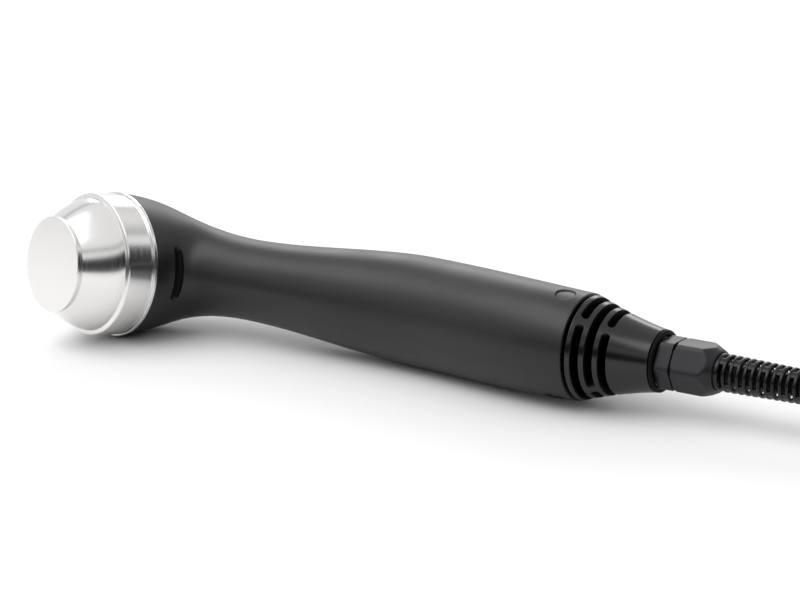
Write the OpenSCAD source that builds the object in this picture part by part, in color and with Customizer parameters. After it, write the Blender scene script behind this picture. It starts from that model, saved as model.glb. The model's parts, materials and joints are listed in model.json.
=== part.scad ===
// Hand-held therapy head: an angled metal treatment head on a one-piece handle, with a slotted
// bend boot, a cable gland, a slotted bend relief and a coiled lead with a round plug.
// Device frame: the handle axis is X, towards the cable, the treatment face looks to -Y, and the
// handle's flat plane of symmetry is Z = 0. The laid module then lays it down as it rests.

/* [Treatment head] */
// Angle between the face's normal and the handle axis
head_tilt = 73.5; // [66:0.5:80]
// Distance of the face's centre ahead of the handle's tail end
face_reach = 184.8; // [180:0.2:190]
// Distance of the face's centre out from the tail axis
face_out = 31; // [29:0.5:33]
// Diameter of the treatment face
face_d = 31.6; // [30.6:0.2:32.6]
// Thickness of the metal face over the crystal
face_wall = 2.2; // [1.8:0.1:2.6]
// Width of the bright land round the face
land_w = 1.2; // [0.8:0.1:1.6]
// Diameter at the back of the flare
flare_d = 44.4; // [43.8:0.2:45]
// Distance from the face to the step between flare and band
band_from = 14.2; // [13.8:0.1:14.6]
// Diameter of the wide band
band_d = 47.2; // [46.6:0.2:47.6]
// Diameter of the lip behind the band
lip_d = 48.3; // [48:0.1:48.6]
// Thickness of that lip
lip_t = 1.3; // [1:0.1:1.6]
// Length of the metal head from face to lip
head_len = 25.5; // [24.5:0.5:26.5]
// Bore of the head behind the crystal holder
head_bore_d = 38; // [37:0.5:39]

/* [Crystal] */
// Diameter of the piezo crystal
crystal_d = 25; // [24:0.5:26]
// Thickness of the crystal
crystal_t = 2.1; // [1.8:0.1:2.4]
// Height of the ring that presses on the crystal
press_ring_t = 4; // [3.5:0.5:4.5]
// Thickness of the holder's flange
holder_flange_t = 2; // [1.6:0.2:2.4]
// Thickness of the threaded clamp ring
clamp_t = 3; // [2.4:0.2:3.6]
// Diameter of the sprung contact pin
contact_d = 2.6; // [2.2:0.2:3]

/* [Handle] */
// Distance from the tail end to the neck
neck_x = 133; // [128:1:138]
// Diameter of the neck
neck_d = 27.6; // [26.6:0.2:28.6]
// Largest diameter of the grip
swell_d = 35; // [34:0.5:36]
// Distance from the tail end to the widest place
swell_x = 66; // [60:1:72]
// Diameter of the tail end
tail_d = 32.5; // [31.5:0.5:33.5]
// Offset of the grip's middle behind the tail axis
grip_bow = 11; // [9:0.5:12]
// Length over which that offset runs out
bow_len = 80; // [70:1:90]
// Wall of the handle
shell_wall = 2.6; // [2.2:0.1:3]
// Depth of the arc-shaped recess in the bell
recess_depth = 0.9; // [0.6:0.1:1.2]
// Width of that recess
recess_w = 3; // [2.4:0.2:3.6]

/* [Bend boot] */
// Length of the boot behind the handle
boot_len = 24.4; // [23.4:0.2:25.4]
// Diameter of the boot's small end
boot_end_d = 18.8; // [18:0.2:19.6]
// Wall of the boot
boot_wall = 2.4; // [2:0.1:2.8]
// Width of the parting groove between handle and boot
parting_w = 1.1; // [0.7:0.1:1.5]
// Width of the slots
slot_w = 2.4; // [2:0.1:2.6]
// Distance from one row of slots to the next
slot_pitch = 3.9; // [3.7:0.1:4.1]
// Distance from the handle's end to the first row
slot_from = 2.05; // [1.75:0.05:2.35]
// Width of the bridges between slots
bridge_w = 2.3; // [1.8:0.1:2.8]
// Length of the spigot inside the handle
spigot_len = 21; // [19:1:23]
// Diameter of the snap bosses
boss_d = 6; // [5:0.2:7]

/* [Gland] */
// Size across the flats of the gland
hex_af = 14.5; // [14.2:0.1:14.9]
// Length of the gland body's hexagon
body_hex_len = 4.7; // [4.2:0.1:5.2]
// Length of the nut's hexagon
nut_hex_len = 8.6; // [8.2:0.1:9.2]
// Length of the nut's cone
nut_cone_len = 4.2; // [3.6:0.2:4.8]
// Diameter of the nut's small end
nut_end_d = 12.6; // [12.2:0.1:13]
// Diameter of the gland's thread
thread_d = 12; // [11.6:0.1:12.2]
// Turn of the hexagons about the axis
hex_turn = 40; // [0:1:60]

/* [Bend relief] */
// Diameter at the nut
relief_d = 11.3; // [11:0.1:11.6]
// Diameter at the free end
relief_end_d = 8.8; // [8.4:0.1:9.4]
// Distance of the free end behind the handle
relief_end_x = 98; // [96:1:100]
// Bore of the relief at the nut
relief_bore_d = 8.4; // [8:0.1:8.6]
// Bore of the relief at the free end
relief_end_bore_d = 7; // [6.8:0.1:7.2]
// Distance from one row of windows to the next
window_pitch = 2.2; // [2:0.1:2.3]
// Width of a window
window_w = 1.1; // [0.9:0.1:1.3]

/* [Lead] */
// Diameter of the cable
cable_d = 6.2; // [5.8:0.1:6.4]
// Diameter of the coil at the middle of its turns
coil_mid_d = 63.6; // [60:0.6:70]
// Width of the coil, three turns side by side
coil_w = 18.6; // [17.4:0.3:19.2]
// Thickness of the strap round the coil
tie_t = 0.8; // [0.6:0.1:1]
// Diameter of the plug
plug_d = 16.4; // [15.4:0.2:17.4]

/* [Hidden] */
$fn = 96;

// Overrun of every cut, the least edge break and the running clearance of parts that slide together
over = 1;
edge = 0.3;
fit = 0.1;
// How the part lies: leaning back, tail down a little, and the height of the tail axis
lay_roll = 11;
lay_pitch = 1.7;
tail_at = [51, 3.5, 17.5];

// Sizes of the head that follow from the ones above
face_r = face_d / 2;
flare_r = flare_d / 2;
band_r = band_d / 2;
lip_r = lip_d / 2;
head_bore_r = head_bore_d / 2;
undercut_w = 0.8;
undercut_d = 0.5;
flare_from = land_w + undercut_w;
flare_bend_share = 0.7;
flare_bend_r_share = 0.9;
lip_groove_w = 0.6;
lip_groove_d = 0.4;
lip_from = head_len - lip_t;
pocket_clear = 0.6;
pocket_r = crystal_d / 2 + pocket_clear;
crystal_from = face_wall;
press_from = crystal_from + crystal_t;
press_bore_share = 0.84;
holder_from = press_from + press_ring_t;
holder_plug_t = 2.2;
flange_from = holder_from + holder_plug_t;
holder_inset = 2;
holder_flange_r = head_bore_r - holder_inset;
clamp_from = flange_from + holder_flange_t;
clamp_r = head_bore_r - fit;
clamp_bore_share = 0.48;
spanner_hole_d = 2.5;
spanner_at_share = 0.74;
contact_from = press_from;
contact_tip = 1;
contact_len = 10.6;

// The carrier ring that joins head and handle, with its seal
carrier_lap = 8.5;
carrier_from = head_len - carrier_lap;
carrier_len = 14.5;
carrier_wall = 3;
seal_minor = 0.8;
seal_at = head_len - 3.5;
seal_groove_d = 1.45;
shell_bore_len = 6.2;

// Directions of the head in the device frame
face_at = [-face_reach, -face_out, 0];
head_back = [cos(head_tilt), sin(head_tilt), 0];
head_side = [sin(head_tilt), -cos(head_tilt), 0];

// The bell that leads from the lip to the neck, and the grip's sections
bell_lean = 6;
bell_pull = 72;
neck_pull = 81;
inner_ease = 0.45;
neck_flat_share = 0.973;
bell_rows = 22;
grip_rows = 18;
shell_sides = 48;
cavity_sides = 24;
cavity_bell_rows = 12;
cavity_grip_rows = 10;
tail_slope = 0.05;
shell_end_x = -parting_w / 2;
recess_row_share = 0.28;
recess_span = 44;
recess_steps = 14;
recess_sides = 10;
recess_end_share = 0.9;

// The boot's own values
boot_from = parting_w / 2;
boot_bend_x_share = 0.56;
boot_bend_r_share = 0.69;
boot_steps = 12;
slot_rows = 3;
slot_end_ease = 0.1;
boot_bridge_turn = 52;
boot_cut_r = 6;
spigot_step = 2.35;
spigot_r = tail_d / 2 - spigot_step;
spigot_root_step = 1.2;
spigot_root_r = tail_d / 2 - spigot_root_step;
spigot_root_len = 3;
boot_core_r = spigot_r - boot_wall;
boot_end_t = 3.2;
boss_x = -6.8;
boss_turn = 20;
boss_drop = 0.4;
boss_clear = 0.15;

// The gland's own values, along the tail axis
seal_ring_minor = 0.75;
seal_ring_major = boot_end_d / 2 - 0.85;
body_from = boot_len + 1.3;
nut_from = body_from + body_hex_len + 0.4;
nut_cone_from = nut_from + nut_hex_len;
nut_end_x = nut_cone_from + nut_cone_len;
hex_r = hex_af / sqrt(3);
hex_cham = 0.9;
thread_r = thread_d / 2;
body_thread_len = 8.6;
locknut_t = 3.2;
locknut_share = 1.27;
body_bore_r = cable_d / 2 + 0.6;
body_tail_len = 7.4;
claw_len = 5;
claw_gap = 0.8;
claws = 8;
grommet_r = thread_r - 1.1;
grommet_len = 6.6;
relief_flange_t = 1.4;
relief_flange_r = thread_r + 0.8;
relief_flange_x = nut_cone_from + 0.9;
window_from = nut_end_x + 1.4;
window_rows = 21;
window_bridge = 24;
window_turn = 45;

// The board and what it carries
board_len = 64;
board_w = 21;
board_t = 1.6;
board_x = -100;
board_y = 8;
former_t = 4;
former_clear = 0.6;
former_lap = 1;
core_share = 0.25;
core_h_share = 0.3125;
coil_core_d = board_len * core_share;
coil_core_bore_d = coil_core_d / 2;
coil_core_h = coil_core_d * core_h_share;
core_at_share = 0.33;
coil_core_x = board_x + board_len * core_at_share;
wire_t = 0.7;
winding_gap = 60;
chip_share = 0.125;
chip_size = [board_len * chip_share, 1.6, 5];
cap_d = 5;
cap_len = 9;
part_gap = 1;
socket_size = [7, 5, 12];
socket_x = board_x + board_len - former_t - socket_size[0];
cap_x = socket_x - (socket_size[0] + cap_d) / 2 - part_gap;
chip_x = cap_x - (cap_d + chip_size[0]) / 2 - part_gap;
terminal_d = 1.2;
terminal_h = 4;
terminal_gap = 7;
terminal_x = board_x + terminal_gap;
hole_gap = 0.6;
lead_d = 1.5;
lead_sides = 8;
lead_rows = 12;
lead_pull = 30;
lead_lift = 2.9;
lead_run = 14;
lead_neck_share = 0.2;
cable_start_x = 12;
lead_ends = [[0, 1.2], [1.1, -0.6], [-1.1, -0.6]];
lead_plug_lift = 3.8;

// The cable: its sides and the points of its route, in the laid frame, chosen by hand
cable_r = cable_d / 2;
cable_sides = 10;
cable_steps = 5;
cable_route = [[63, 3.5, 17.1], [90, 3.5, 16.3], [120, 3.5, 15.5], [149, 3.5, 14.6],
    [160, 2, 13.9], [171, -2.1, 11.5], [182, -7.6, 8.2], [193, -13.8, 5.3], [204, -19.5, 4],
    [215, -23.9, 3.9], [228, -26, 3.9]];
end_route = [[228, 50, 22.5], [216, 50, 21.4], [204, 50, 18.2], [192, 50, 13.6],
    [181, 50, 9.9], [170, 50, 8.2]];

// The coil, its strap and the plug, in the laid frame
coil_at = [250, 12, 0];
coil_lift = tie_t;
coil_layers = 4;
coil_h = coil_layers * cable_d;
coil_out_r = coil_mid_d / 2 + coil_w / 2 - cable_r;
stub_in_z = cable_r + coil_lift;
stub_out_z = stub_in_z + (coil_layers - 1) * cable_d;
stub_in_x = cable_route[len(cable_route) - 1][0];
stub_out_x = end_route[0][0];
stub_ease = 0.15;
tie_w = 14;
tie_gap = 0.15;
plug_at = end_route[len(end_route) - 1];
plug_relief_len = 18;
plug_body_len = 28;
plug_nose_len = 10;
plug_neck_d = 9.4;
plug_nose_d = 12;
plug_shank_r = 5.6;
plug_shell_bore_r = 5;
plug_recess = 3;
plug_grooves = 5;
plug_groove_w = 1;
plug_groove_d = 0.7;
plug_relief_d = 8.2;
plug_relief_groove_d = 1;
plug_break = 1;
plug_back_d = 11.4;
pin_inset = 1;
grip_groove_pitch = 2.4;
grip_grooves = 8;
pin_d = 1;
pin_count = 6;
pin_ring_share = 0.3;

// A smooth step from a to b with end slopes sa and sb over a length
function hermite(a, b, sa, sb, t) =
    (2 * t * t * t - 3 * t * t + 1) * a + (t * t * t - 2 * t * t + t) * sa
    + (3 * t * t - 2 * t * t * t) * b + (t * t * t - t * t) * sb;
function clamp01(t) = min(1, max(0, t));
function bezier(a, b, c, t) = (1 - t) * (1 - t) * a + 2 * t * (1 - t) * b + t * t * c;

// Half-width of the grip at x, and how far its middle stands behind the tail axis
function grip_r(x) = x < -swell_x
    ? hermite(neck_d / 2, swell_d / 2, 0, 0, (x + neck_x) / (neck_x - swell_x))
    : hermite(swell_d / 2, tail_d / 2, 0, -tail_slope * swell_x, (x + swell_x) / swell_x);
function grip_y(x) = grip_bow * hermite(1, 0, 0, 0, clamp01((x + bow_len) / bow_len));
function grip_flat(x) =
    neck_flat_share + (1 - neck_flat_share) * clamp01((x + neck_x) / (neck_x - swell_x));

// Directions out from the middle of a section at angle a, at the rim and along the handle
function rim_dir(a) = [0, 0, cos(a)] + head_side * sin(a);
function grip_dir(a, flat) = [0, -sin(a), flat * cos(a)];

// A point of the bell: t runs from the rim to the neck, and the pull is less in the inner bend
function pull_share(a) = 1 - inner_ease * pow(max(0, sin(a)), 2);
function bell_at(t, a, r0, h0, r1) = hermite(
    face_at + head_back * h0 + rim_dir(a) * r0,
    [-neck_x, grip_bow, 0] + grip_dir(a, neck_flat_share) * r1,
    (head_back * cos(bell_lean) - rim_dir(a) * sin(bell_lean)) * bell_pull * pull_share(a),
    [neck_pull * pull_share(a), 0, 0], t);
function grip_at(x, a, inset) =
    [x, grip_y(x), 0] + grip_dir(a, grip_flat(x)) * (grip_r(x) - inset);

// One ring of points after another, from the rim to x_end
function shell_points(sides, rows, grows, r0, h0, inset, x_end) = concat(
    [for (i = [0:rows - 1], j = [0:sides - 1])
        bell_at(i / rows, j * 360 / sides, r0, h0, neck_d / 2 - inset)],
    [for (i = [0:grows], j = [0:sides - 1])
        grip_at(-neck_x + (x_end + neck_x) * i / grows, j * 360 / sides, inset)]);

// Faces of a skin through rings of points, with both ends closed
function skin_faces(sides, rings) = concat(
    [[for (j = [0:sides - 1]) j]],
    [for (i = [0:rings - 2], j = [0:sides - 1]) each [
        [i * sides + j, (i + 1) * sides + j, (i + 1) * sides + (j + 1) % sides],
        [i * sides + j, (i + 1) * sides + (j + 1) % sides, i * sides + (j + 1) % sides]]],
    [[for (j = [sides - 1:-1:0]) (rings - 1) * sides + j]]);

// Points of a round tube along a path: each ring stands square to the path
function unit(v) = v / norm(v);
function along(path, i) = unit(path[min(i + 1, len(path) - 1)] - path[max(i - 1, 0)]);
function ring_side(t) = unit(cross([0, 0, 1], t));
function tube_ring(p, t, r, sides) = [for (j = [0:sides - 1])
    p + r * (cross(t, ring_side(t)) * cos(j * 360 / sides) - ring_side(t) * sin(j * 360 / sides))];
function tube_points(path, r, sides) =
    [for (i = [0:len(path) - 1]) each tube_ring(path[i], along(path, i), r, sides)];

// A smooth line through route points
function spline_at(p, i, t) = hermite(p[i], p[i + 1],
    (p[i + 1] - p[max(i - 1, 0)]) / 2, (p[min(i + 2, len(p) - 1)] - p[i]) / 2, t);
function spline(p, steps) = concat(
    [for (i = [0:len(p) - 2], s = [0:steps - 1]) spline_at(p, i, s / steps)],
    [p[len(p) - 1]]);
function curve(a, b, ta, tb, steps) = [for (i = [0:steps]) hermite(a, b, ta, tb, i / steps)];

// Outline of the boot at t, as [radius, distance]
function boot_at(t) = bezier([tail_d / 2 - edge, boot_from],
    [tail_d / 2 * boot_bend_r_share, boot_len * boot_bend_x_share],
    [boot_end_d / 2, boot_len], t);

module laid() {
    translate(tail_at) rotate([-lay_roll, lay_pitch, 0]) children();
}

// Children's Z runs backwards along the head's axis, from the face
module in_head() {
    laid() translate(face_at) rotate([0, 90, head_tilt]) children();
}

// Children's Z runs along the tail axis, from the handle's end
module in_tail(x = 0) {
    laid() translate([x, 0, 0]) rotate([0, 90, 0]) children();
}

module in_plug(z = 0) {
    translate(plug_at - [z, 0, 0]) rotate([0, -90, 0]) children();
}

module tube(path, r, sides) {
    polyhedron(tube_points(path, r, sides), skin_faces(sides, len(path)), convexity = 4);
}

module ring(r_out, r_in, h) {
    difference() {
        cylinder(r = r_out, h = h);
        translate([0, 0, -over]) cylinder(r = r_in, h = h + 2 * over);
    }
}

// A hexagon with its corners turned off at one or both ends
module hex_block(r, h, front, back) {
    intersection() {
        rotate([0, 0, hex_turn]) cylinder(r = r, h = h, $fn = 6);
        rotate_extrude() polygon([[0, 0], [r - front, 0], [r, front / 2], [r, h - back / 2],
            [r - back, h], [0, h]]);
    }
}

module head_cup() {
    color("silver") in_head() difference() {
        rotate_extrude() polygon(concat(
            [[0, 0], [face_r - edge, 0], [face_r, edge], [face_r, land_w],
                [face_r - undercut_d, land_w], [face_r - undercut_d, flare_from]],
            [for (i = [0:8]) bezier([face_r - edge, flare_from],
                [face_r + (flare_r - face_r) * flare_bend_r_share, band_from * flare_bend_share],
                [flare_r, band_from], i / 8)],
            [[band_r - edge, band_from], [band_r, band_from + edge],
                [band_r, lip_from - lip_groove_w], [band_r - lip_groove_d, lip_from - lip_groove_w],
                [band_r - lip_groove_d, lip_from], [lip_r - edge, lip_from],
                [lip_r, lip_from + edge], [lip_r, head_len], [0, head_len]]));
        translate([0, 0, face_wall]) cylinder(r = pocket_r, h = head_len);
        translate([0, 0, flange_from]) cylinder(r = head_bore_r, h = head_len);
    }
}

module crystal_disc() {
    color("beige") in_head() translate([0, 0, crystal_from])
        cylinder(d = crystal_d, h = crystal_t);
}

module crystal_ring() {
    color("goldenrod") in_head() translate([0, 0, press_from])
        ring(pocket_r - fit, crystal_d / 2 * press_bore_share, press_ring_t);
}

module contact_holder() {
    color("ivory") in_head() difference() {
        union() {
            translate([0, 0, holder_from]) cylinder(r = pocket_r - fit, h = holder_plug_t);
            translate([0, 0, flange_from]) cylinder(r = holder_flange_r, h = holder_flange_t);
        }
        translate([0, 0, holder_from - over])
            cylinder(d = contact_d + fit, h = holder_plug_t + holder_flange_t + 2 * over);
    }
}

module contact_pin() {
    color("gold") in_head() translate([0, 0, contact_from]) {
        cylinder(d1 = contact_d / 2, d2 = contact_d, h = contact_tip);
        translate([0, 0, contact_tip]) cylinder(d = contact_d, h = contact_len - contact_tip);
    }
}

module clamp_ring() {
    color("silver") in_head() translate([0, 0, clamp_from]) difference() {
        ring(clamp_r, clamp_r * clamp_bore_share, clamp_t);
        for (a = [0, 180]) rotate([0, 0, a]) translate([clamp_r * spanner_at_share, 0, -over])
            cylinder(d = spanner_hole_d, h = clamp_t + 2 * over, $fn = 32);
    }
}

module carrier_ring() {
    color("dimgray") in_head() rotate_extrude() polygon([
        [clamp_r - carrier_wall, carrier_from], [clamp_r, carrier_from],
        [clamp_r, seal_at - seal_minor], [clamp_r - seal_groove_d, seal_at - seal_minor],
        [clamp_r - seal_groove_d, seal_at + seal_minor], [clamp_r, seal_at + seal_minor],
        [clamp_r, carrier_from + carrier_len], [clamp_r - carrier_wall, carrier_from + carrier_len]]);
}

module carrier_seal() {
    color("black") in_head() translate([0, 0, seal_at]) rotate_extrude()
        translate([head_bore_r - seal_minor, 0]) circle(r = seal_minor - fit / 2, $fn = 24);
}

// The shallow arc-shaped recess in the bell, as a round bar that follows its surface
function recess_r(t) = recess_w / 2 * sqrt(1 - recess_end_share * pow(abs(2 * t - 1), 8));
function recess_at(a) = bell_at(recess_row_share, a, lip_r + recess_w / 2 - recess_depth,
    head_len, neck_d / 2 + recess_w / 2 - recess_depth);
module recess_bar() {
    polyhedron([for (i = [0:recess_steps], j = [0:recess_sides - 1])
        let (a = 90 + recess_span * (i / recess_steps - 1 / 2), b = j * 360 / recess_sides)
            recess_at(a) + recess_r(i / recess_steps) * (rim_dir(a) * cos(b) - head_back * sin(b))],
        skin_faces(recess_sides, recess_steps + 1), convexity = 4);
}

module handle_shell() {
    color([0.16, 0.16, 0.17]) laid() difference() {
        polyhedron(shell_points(shell_sides, bell_rows, grip_rows, lip_r - edge, head_len, 0,
            shell_end_x), skin_faces(shell_sides, bell_rows + grip_rows + 1), convexity = 6);
        polyhedron(shell_points(cavity_sides, cavity_bell_rows, cavity_grip_rows,
            head_bore_r, head_len + shell_bore_len - over, shell_wall, -spigot_len),
            skin_faces(cavity_sides, cavity_bell_rows + cavity_grip_rows + 1), convexity = 6);
        translate(face_at) rotate([0, 90, head_tilt]) translate([0, 0, head_len - over])
            cylinder(r = head_bore_r, h = shell_bore_len + over);
        translate([-spigot_len - over, 0, 0]) rotate([0, 90, 0])
            cylinder(r = spigot_r + fit, h = spigot_len + 2 * over);
        for (s = [boss_turn, 180 - boss_turn]) translate([boss_x, 0, 0]) rotate([s, 0, 0])
            cylinder(d = boss_d + 2 * boss_clear, h = tail_d, $fn = 48);
        recess_bar();
    }
}

module board_former(x) {
    r = grip_r(x + former_t / 2) - shell_wall - former_clear;
    laid() difference() {
        translate([x, grip_y(x + former_t / 2), 0]) rotate([0, 90, 0]) cylinder(r = r, h = former_t);
        translate([board_x - fit, board_y - board_t / 2 - fit, -board_w / 2 - fit])
            cube([board_len + 2 * fit, board_t + 2 * fit, board_w + 2 * fit]);
        translate([x - over, board_y - board_t / 2 - hole_gap - r / 4, 0]) rotate([0, 90, 0])
            cylinder(r = r / 4, h = former_t + 2 * over, $fn = 32);
    }
}

module board_former_front() {
    color("gray") board_former(board_x - former_lap);
}

module board_former_rear() {
    color("gray") board_former(board_x + board_len - former_t + former_lap);
}

module matching_board() {
    color("darkgreen") laid() translate([board_x, board_y - board_t / 2, -board_w / 2])
        cube([board_len, board_t, board_w]);
}

// Children's Z stands out of the board's component side, at x along the handle
module on_board(x, z = 0) {
    laid() translate([x, board_y - board_t / 2, z]) rotate([90, 0, 0]) children();
}

module tuning_core() {
    color([0.25, 0.25, 0.27]) on_board(coil_core_x) translate([0, 0, wire_t + fit])
        ring(coil_core_d / 2 - wire_t, coil_core_bore_d / 2 + wire_t, coil_core_h);
}

module tuning_winding() {
    color("peru") on_board(coil_core_x) rotate([0, 0, winding_gap / 2])
        rotate_extrude(angle = 360 - winding_gap) translate([coil_core_bore_d / 2, 0]) difference() {
            square([(coil_core_d - coil_core_bore_d) / 2, coil_core_h + 2 * (wire_t + fit)]);
            translate([wire_t - fit / 2, wire_t + fit / 2]) square([
                (coil_core_d - coil_core_bore_d) / 2 - 2 * wire_t + fit, coil_core_h + fit]);
        }
}

module board_chips() {
    color([0.1, 0.1, 0.1]) for (s = [-1, 1]) on_board(chip_x, s * chip_size[2])
        translate([-chip_size[0] / 2, -chip_size[2] / 2, 0])
            cube([chip_size[0], chip_size[2], chip_size[1]]);
}

module board_capacitors() {
    color("steelblue") for (s = [-1, 1]) on_board(cap_x, s * cap_d)
        cylinder(d = cap_d, h = cap_len, $fn = 32);
}

module lead_socket() {
    color("white") on_board(socket_x)
        translate([-socket_size[0] / 2, -socket_size[2] / 2, 0])
            cube([socket_size[0], socket_size[2], socket_size[1]]);
}

module board_terminals() {
    color("gold") for (s = [-1, 1]) on_board(terminal_x, s * lead_d)
        cylinder(d = terminal_d, h = terminal_h, $fn = 24);
}

// A lead from the head follows the middle of the bell to its terminal on the board
function bell_mid(t) = hermite(face_at + head_back * head_len, [-neck_x, grip_bow, 0],
    head_back * bell_pull, [neck_pull, 0, 0], t);
module head_lead(from, side) {
    to = [terminal_x - (terminal_d + fit) / 2, board_y - board_t / 2 - lead_lift, side];
    path = concat([from], [for (i = [1:4]) bell_mid(i * lead_neck_share) + [0, 0, side]],
        [to - [lead_run, 0, 0], to]);
    laid() tube(spline(path, 2), lead_d / 2, lead_sides);
}

module crystal_lead() {
    color("firebrick") head_lead(face_at + head_back * (contact_from + contact_len), lead_d);
}

module ground_lead() {
    color("black") head_lead(face_at + head_back * (clamp_from + clamp_t)
        + head_side * clamp_r * clamp_bore_share + head_side * lead_d, -lead_d);
}

module inner_leads() {
    from_x = socket_x + socket_size[0] / 2;
    color("tan") laid() for (p = lead_ends)
        tube(curve([from_x, board_y - board_t / 2 - lead_plug_lift + p[0], p[1] * 2],
            [cable_start_x, p[0], p[1]], [lead_pull, 0, 0], [lead_pull, 0, 0], lead_rows),
            lead_d / 2, lead_sides);
}

// The slots of one row, with round ends, cut clear of the two bridges
module boot_row(x, turn) {
    r = boot_at((x - boot_from) / (boot_len - boot_from))[0];
    off = (bridge_w + slot_w) / 2 / r * 180 / PI;
    translate([0, 0, x]) rotate([0, 0, turn]) for (s = [0, 180]) rotate([0, 0, s]) {
        rotate([0, 0, off]) rotate_extrude(angle = 180 - 2 * off)
            translate([boot_cut_r, -slot_w / 2]) square([tail_d / 2 - boot_cut_r + over, slot_w]);
        for (a = [off, 180 - off]) rotate([0, 90, a]) translate([0, 0, boot_cut_r])
            cylinder(d = slot_w - slot_end_ease, h = tail_d / 2 - boot_cut_r + over, $fn = 32);
    }
}

module tail_boot() {
    color([0.17, 0.17, 0.18]) in_tail() {
        difference() {
            rotate_extrude() polygon(concat(
                [[boot_core_r, -spigot_len], [spigot_r - edge, -spigot_len],
                    [spigot_r, -spigot_len + edge], [spigot_r, shell_end_x],
                    [spigot_root_r, shell_end_x], [spigot_root_r, boot_from]],
                [for (i = [0:boot_steps]) boot_at(i / boot_steps)],
                [[thread_r + fit, boot_len], [thread_r + fit, boot_len - boot_end_t],
                    [boot_end_d / 2 - boot_wall / 2, boot_len - boot_end_t]],
                [for (i = [boot_steps - 4:-1:0]) boot_at(i / boot_steps) - [boot_wall, 0]],
                [[boot_core_r, boot_from]]));
            for (i = [0:slot_rows - 1]) boot_row(slot_from + slot_w / 2 + i * slot_pitch,
                boot_bridge_turn - i % 2 * 90);
        }
        for (s = [-1, 1]) rotate([0, 0, -s * boss_turn])
            translate([s * (spigot_r - boot_wall / 2), 0, boss_x]) rotate([0, s * 90, 0])
                cylinder(d = boss_d,
                    h = grip_r(boss_x) - boss_drop - spigot_r + boot_wall / 2, $fn = 48);
    }
}

module gland_locknut() {
    color([0.2, 0.2, 0.2]) in_tail(boot_len - boot_end_t - locknut_t - fit) difference() {
        cylinder(r = thread_r * locknut_share, h = locknut_t);
        translate([0, 0, -over]) cylinder(r = thread_r + fit, h = locknut_t + 2 * over);
    }
}

module gland_seal() {
    color("black") in_tail((boot_len + body_from) / 2) rotate_extrude()
        translate([seal_ring_major, 0]) circle(r = seal_ring_minor - fit, $fn = 24);
}

module gland_body() {
    tail_from = body_from + body_hex_len;
    color([0.2, 0.2, 0.21]) in_tail() difference() {
        union() {
            translate([0, 0, body_from]) hex_block(hex_r, body_hex_len, hex_cham, edge);
            translate([0, 0, body_from - body_thread_len])
                cylinder(r = thread_r, h = body_thread_len);
            translate([0, 0, tail_from]) cylinder(r = thread_r, h = body_tail_len);
        }
        translate([0, 0, body_from - body_thread_len - over])
            cylinder(r = body_bore_r, h = body_thread_len + body_hex_len + 2 * over);
        translate([0, 0, tail_from]) cylinder(r = grommet_r + fit, h = body_tail_len + over);
        for (i = [0:claws / 2 - 1]) rotate([0, 0, i * 360 / claws]) translate([-thread_r - over,
            -claw_gap / 2, tail_from + body_tail_len - claw_len])
            cube([2 * (thread_r + over), claw_gap, claw_len + over]);
    }
}

module gland_grommet() {
    color([0.1, 0.1, 0.1]) in_tail(body_from + body_hex_len + fit)
        ring(grommet_r, cable_r + fit / 2, grommet_len);
}

module gland_nut() {
    color([0.18, 0.18, 0.19]) in_tail() difference() {
        intersection() {
            translate([0, 0, nut_from]) rotate([0, 0, hex_turn])
                cylinder(r = hex_r, h = nut_hex_len + nut_cone_len, $fn = 6);
            rotate_extrude() polygon([[0, nut_from], [hex_r - hex_cham, nut_from],
                [hex_r, nut_from + hex_cham], [hex_r, nut_cone_from - edge],
                [nut_end_d / 2, nut_end_x - edge], [nut_end_d / 2 - edge, nut_end_x],
                [0, nut_end_x]]);
        }
        translate([0, 0, nut_from - over])
            cylinder(r = thread_r + fit, h = relief_flange_x - nut_from + over);
        translate([0, 0, relief_flange_x - over / 2])
            cylinder(r = thread_r + fit, h = relief_flange_t + over / 2);
        translate([0, 0, nut_from]) cylinder(d = relief_d + 2 * fit, h = nut_end_x);
    }
}

// The slotted sleeve: rows of windows, each row with two bridges and turned against the last
module bend_relief() {
    color([0.15, 0.15, 0.16]) in_tail() difference() {
        rotate_extrude() polygon([[relief_bore_d / 2, relief_flange_x],
            [thread_r - fit, relief_flange_x], [thread_r - fit, relief_flange_x + relief_flange_t],
            [relief_d / 2, relief_flange_x + relief_flange_t], [relief_d / 2, nut_end_x],
            [relief_end_d / 2, relief_end_x - edge], [relief_end_d / 2 - edge, relief_end_x],
            [relief_end_bore_d / 2, relief_end_x]]);
        for (i = [0:window_rows - 1], s = [0, 180])
            translate([0, 0, window_from + i * window_pitch])
                rotate([0, 0, s + (i % 2 == 0 ? window_turn : -window_turn) + window_bridge / 2])
                    rotate_extrude(angle = 180 - window_bridge, $fn = 48)
                        translate([relief_end_bore_d / 2 - over, 0])
                            square([(relief_d - relief_end_bore_d) / 2 + 2 * over, window_w]);
    }
}

module cable() {
    color([0.12, 0.12, 0.12]) tube(spline(cable_route, cable_steps), cable_r, cable_sides);
}

// The wound turns as one closed ring, with the two ends that run off it
module cable_coil() {
    c = cable_r;
    color([0.12, 0.12, 0.12]) union() {
        translate(coil_at + [0, 0, coil_lift]) rotate_extrude()
            translate([(coil_mid_d - coil_w) / 2, 0]) polygon([[c, 0], [coil_w - c, 0],
                [coil_w, c], [coil_w, coil_h - c], [coil_w - c, coil_h], [c, coil_h],
                [0, coil_h - c], [0, c]]);
        translate([stub_in_x, coil_at[1] - coil_out_r, stub_in_z]) rotate([0, 90, 0])
            cylinder(r = cable_r - stub_ease, h = coil_at[0] - stub_in_x);
        translate([stub_out_x, coil_at[1] + coil_out_r, stub_out_z]) rotate([0, 90, 0])
            cylinder(r = cable_r - stub_ease, h = coil_at[0] - stub_out_x);
    }
}

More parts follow.
